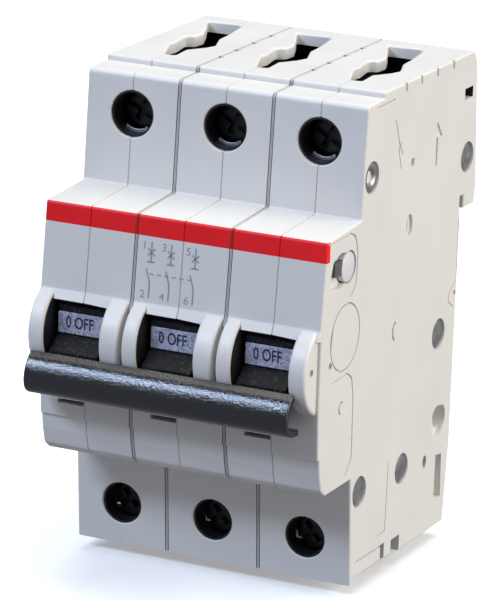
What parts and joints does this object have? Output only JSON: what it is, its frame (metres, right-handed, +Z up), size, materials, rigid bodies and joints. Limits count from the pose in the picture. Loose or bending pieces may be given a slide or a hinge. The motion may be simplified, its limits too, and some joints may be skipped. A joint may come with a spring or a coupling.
{
  "type": "circuit breaker",
  "caption": "Modular rail-mounted circuit breaker with ganged toggles joined by a handle bar, rising-cage screw terminals, magnetic and thermal trips, and sliding rail catches.",
  "frame": {"origin": "in the plane of the rail seat at the back, level with the middle of the rail and in the middle of the width", "axes": "+X across the poles to the operator's right, -Y towards the operator, +Z up towards the line terminals"},
  "size_m": [0.0522, 0.0712, 0.0872],
  "materials": {
    "housing": "fine satin",
    "black_handle": "fine satin",
    "tie_bar_black": "grained, glossy",
    "zinc_steel": "zinc plated",
    "rivet_steel": "zinc plated, dull",
    "copper": "bare copper",
    "winding": "enamelled copper wire",
    "bimetal_strip": "rolled",
    "chute_fibre": "pressed fibre",
    "trip_white": "moulded",
    "clip_grey": "moulded"
  },
  "bodies": {
    "housing": {"left_shell_1": "housing", "right_shell_1": "housing", "upper_bar_1": "copper", "bimetal_1": "bimetal_strip", "coil_1": "winding", "fixed_contact_1": "copper", "arc_chute_1": "chute_fibre", "left_shell_2": "housing", "right_shell_2": "housing", "upper_bar_2": "copper", "bimetal_2": "bimetal_strip", "coil_2": "winding", "fixed_contact_2": "copper", "arc_chute_2": "chute_fibre", "left_shell_3": "housing", "right_shell_3": "housing", "upper_bar_3": "copper", "bimetal_3": "bimetal_strip", "coil_3": "winding", "fixed_contact_3": "copper", "arc_chute_3": "chute_fibre", "rivet_upper_front": "rivet_steel", "rivet_upper_rear": "rivet_steel", "rivet_middle_rear": "rivet_steel", "rivet_lower_middle": "rivet_steel", "rivet_lower_front": "rivet_steel"},
    "handle": {"toggle_1": "black_handle", "toggle_2": "black_handle", "toggle_3": "black_handle", "handle_tie_bar": "tie_bar_black"},
    "trip": {"trip_shaft": "trip_white", "trip_lever_1": "trip_white", "trip_lever_2": "trip_white", "trip_lever_3": "trip_white"},
    "link_1": {"drive_link_1": "zinc_steel"},
    "contact_1": {"moving_contact_1": "copper"},
    "armature_1": {"plunger_1": "zinc_steel"},
    "rail_catch_1": {"rail_clip_1": "clip_grey"},
    "upper_screw_body_1": {"upper_screw_1": "zinc_steel"},
    "upper_clamp_body_1": {"upper_clamp_1": "zinc_steel"},
    "lower_screw_body_1": {"lower_screw_1": "zinc_steel"},
    "lower_clamp_body_1": {"lower_clamp_1": "zinc_steel"},
    "link_2": {"drive_link_2": "zinc_steel"},
    "contact_2": {"moving_contact_2": "copper"},
    "armature_2": {"plunger_2": "zinc_steel"},
    "rail_catch_2": {"rail_clip_2": "clip_grey"},
    "upper_screw_body_2": {"upper_screw_2": "zinc_steel"},
    "upper_clamp_body_2": {"upper_clamp_2": "zinc_steel"},
    "lower_screw_body_2": {"lower_screw_2": "zinc_steel"},
    "lower_clamp_body_2": {"lower_clamp_2": "zinc_steel"},
    "link_3": {"drive_link_3": "zinc_steel"},
    "contact_3": {"moving_contact_3": "copper"},
    "armature_3": {"plunger_3": "zinc_steel"},
    "rail_catch_3": {"rail_clip_3": "clip_grey"},
    "upper_screw_body_3": {"upper_screw_3": "zinc_steel"},
    "upper_clamp_body_3": {"upper_clamp_3": "zinc_steel"},
    "lower_screw_body_3": {"lower_screw_3": "zinc_steel"},
    "lower_clamp_body_3": {"lower_clamp_3": "zinc_steel"}
  },
  "joints": [
    {"name": "handle_throw", "type": "hinge", "parent": "housing", "child": "handle", "pos_m": [0, -0.0535, 0], "axis": [1, 0, 0], "range_deg": [-60, 0]},
    {"name": "trip_turn", "type": "hinge", "parent": "housing", "child": "trip", "pos_m": [0, -0.0472, 0.0158], "axis": [1, 0, 0], "range_deg": [0, 8], "stiffness_Nm_per_rad": 0.05, "springref_deg": -5.73},
    {"name": "link_turn_1", "type": "hinge", "parent": "handle", "child": "link_1", "pos_m": [-0.0175, -0.04986, 0.0021], "axis": [1, 0, 0], "range_deg": [0, 60]},
    {"name": "contact_swing_1", "type": "hinge", "parent": "housing", "child": "contact_1", "pos_m": [-0.0175, -0.033, 0.004], "axis": [1, 0, 0], "range_deg": [0, 26.3]},
    {"name": "armature_stroke_1", "type": "slide", "parent": "housing", "child": "armature_1", "axis": [0, -1, 0], "range_m": [0, 0.0022], "stiffness_N_per_m": 150, "springref_m": -0.002},
    {"name": "rail_catch_slide_1", "type": "slide", "parent": "housing", "child": "rail_catch_1", "axis": [0, 0, -1], "range_m": [0, 0.0045], "stiffness_N_per_m": 500, "springref_m": -0.004},
    {"name": "upper_screw_turn_1", "type": "hinge", "parent": "housing", "child": "upper_screw_body_1", "pos_m": [-0.0175, -0.038, 0.0349], "axis": [0, 1, 0], "range_deg": [0, 2250]},
    {"name": "upper_clamp_rise_1", "type": "slide", "parent": "housing", "child": "upper_clamp_body_1", "axis": [0, -1, 0], "range_m": [0, 0.005]},
    {"name": "lower_screw_turn_1", "type": "hinge", "parent": "housing", "child": "lower_screw_body_1", "pos_m": [-0.0175, -0.038, -0.0345], "axis": [0, 1, 0], "range_deg": [0, 2250]},
    {"name": "lower_clamp_rise_1", "type": "slide", "parent": "housing", "child": "lower_clamp_body_1", "axis": [0, -1, 0], "range_m": [0, 0.005]},
    {"name": "link_turn_2", "type": "hinge", "parent": "handle", "child": "link_2", "pos_m": [0, -0.04986, 0.0021], "axis": [1, 0, 0], "range_deg": [0, 60]},
    {"name": "contact_swing_2", "type": "hinge", "parent": "housing", "child": "contact_2", "pos_m": [0, -0.033, 0.004], "axis": [1, 0, 0], "range_deg": [0, 26.3]},
    {"name": "armature_stroke_2", "type": "slide", "parent": "housing", "child": "armature_2", "axis": [0, -1, 0], "range_m": [0, 0.0022], "stiffness_N_per_m": 150, "springref_m": -0.002},
    {"name": "rail_catch_slide_2", "type": "slide", "parent": "housing", "child": "rail_catch_2", "axis": [0, 0, -1], "range_m": [0, 0.0045], "stiffness_N_per_m": 500, "springref_m": -0.004},
    {"name": "upper_screw_turn_2", "type": "hinge", "parent": "housing", "child": "upper_screw_body_2", "pos_m": [0, -0.038, 0.0349], "axis": [0, 1, 0], "range_deg": [0, 2250]},
    {"name": "upper_clamp_rise_2", "type": "slide", "parent": "housing", "child": "upper_clamp_body_2", "axis": [0, -1, 0], "range_m": [0, 0.005]},
    {"name": "lower_screw_turn_2", "type": "hinge", "parent": "housing", "child": "lower_screw_body_2", "pos_m": [0, -0.038, -0.0345], "axis": [0, 1, 0], "range_deg": [0, 2250]},
    {"name": "lower_clamp_rise_2", "type": "slide", "parent": "housing", "child": "lower_clamp_body_2", "axis": [0, -1, 0], "range_m": [0, 0.005]},
    {"name": "link_turn_3", "type": "hinge", "parent": "handle", "child": "link_3", "pos_m": [0.0175, -0.04986, 0.0021], "axis": [1, 0, 0], "range_deg": [0, 60]},
    {"name": "contact_swing_3", "type": "hinge", "parent": "housing", "child": "contact_3", "pos_m": [0.0175, -0.033, 0.004], "axis": [1, 0, 0], "range_deg": [0, 26.3]},
    {"name": "armature_stroke_3", "type": "slide", "parent": "housing", "child": "armature_3", "axis": [0, -1, 0], "range_m": [0, 0.0022], "stiffness_N_per_m": 150, "springref_m": -0.002},
    {"name": "rail_catch_slide_3", "type": "slide", "parent": "housing", "child": "rail_catch_3", "axis": [0, 0, -1], "range_m": [0, 0.0045], "stiffness_N_per_m": 500, "springref_m": -0.004},
    {"name": "upper_screw_turn_3", "type": "hinge", "parent": "housing", "child": "upper_screw_body_3", "pos_m": [0.0175, -0.038, 0.0349], "axis": [0, 1, 0], "range_deg": [0, 2250]},
    {"name": "upper_clamp_rise_3", "type": "slide", "parent": "housing", "child": "upper_clamp_body_3", "axis": [0, -1, 0], "range_m": [0, 0.005]},
    {"name": "lower_screw_turn_3", "type": "hinge", "parent": "housing", "child": "lower_screw_body_3", "pos_m": [0.0175, -0.038, -0.0345], "axis": [0, 1, 0], "range_deg": [0, 2250]},
    {"name": "lower_clamp_rise_3", "type": "slide", "parent": "housing", "child": "lower_clamp_body_3", "axis": [0, -1, 0], "range_m": [0, 0.005]}
  ],
  "couplings": [
    {"joint": "link_turn_1", "follows": "handle_throw", "ratio": -1},
    {"joint": "contact_swing_1", "follows": "handle_throw", "ratio": -0.438},
    {"joint": "upper_screw_turn_1", "follows": "upper_clamp_rise_1", "rad_per_m": 7853.9},
    {"joint": "lower_screw_turn_1", "follows": "lower_clamp_rise_1", "rad_per_m": 7853.9},
    {"joint": "link_turn_2", "follows": "handle_throw", "ratio": -1},
    {"joint": "contact_swing_2", "follows": "handle_throw", "ratio": -0.438},
    {"joint": "upper_screw_turn_2", "follows": "upper_clamp_rise_2", "rad_per_m": 7853.9},
    {"joint": "lower_screw_turn_2", "follows": "lower_clamp_rise_2", "rad_per_m": 7853.9},
    {"joint": "link_turn_3", "follows": "handle_throw", "ratio": -1},
    {"joint": "contact_swing_3", "follows": "handle_throw", "ratio": -0.438},
    {"joint": "upper_screw_turn_3", "follows": "upper_clamp_rise_3", "rad_per_m": 7853.9},
    {"joint": "lower_screw_turn_3", "follows": "lower_clamp_rise_3", "rad_per_m": 7853.9}
  ]
}
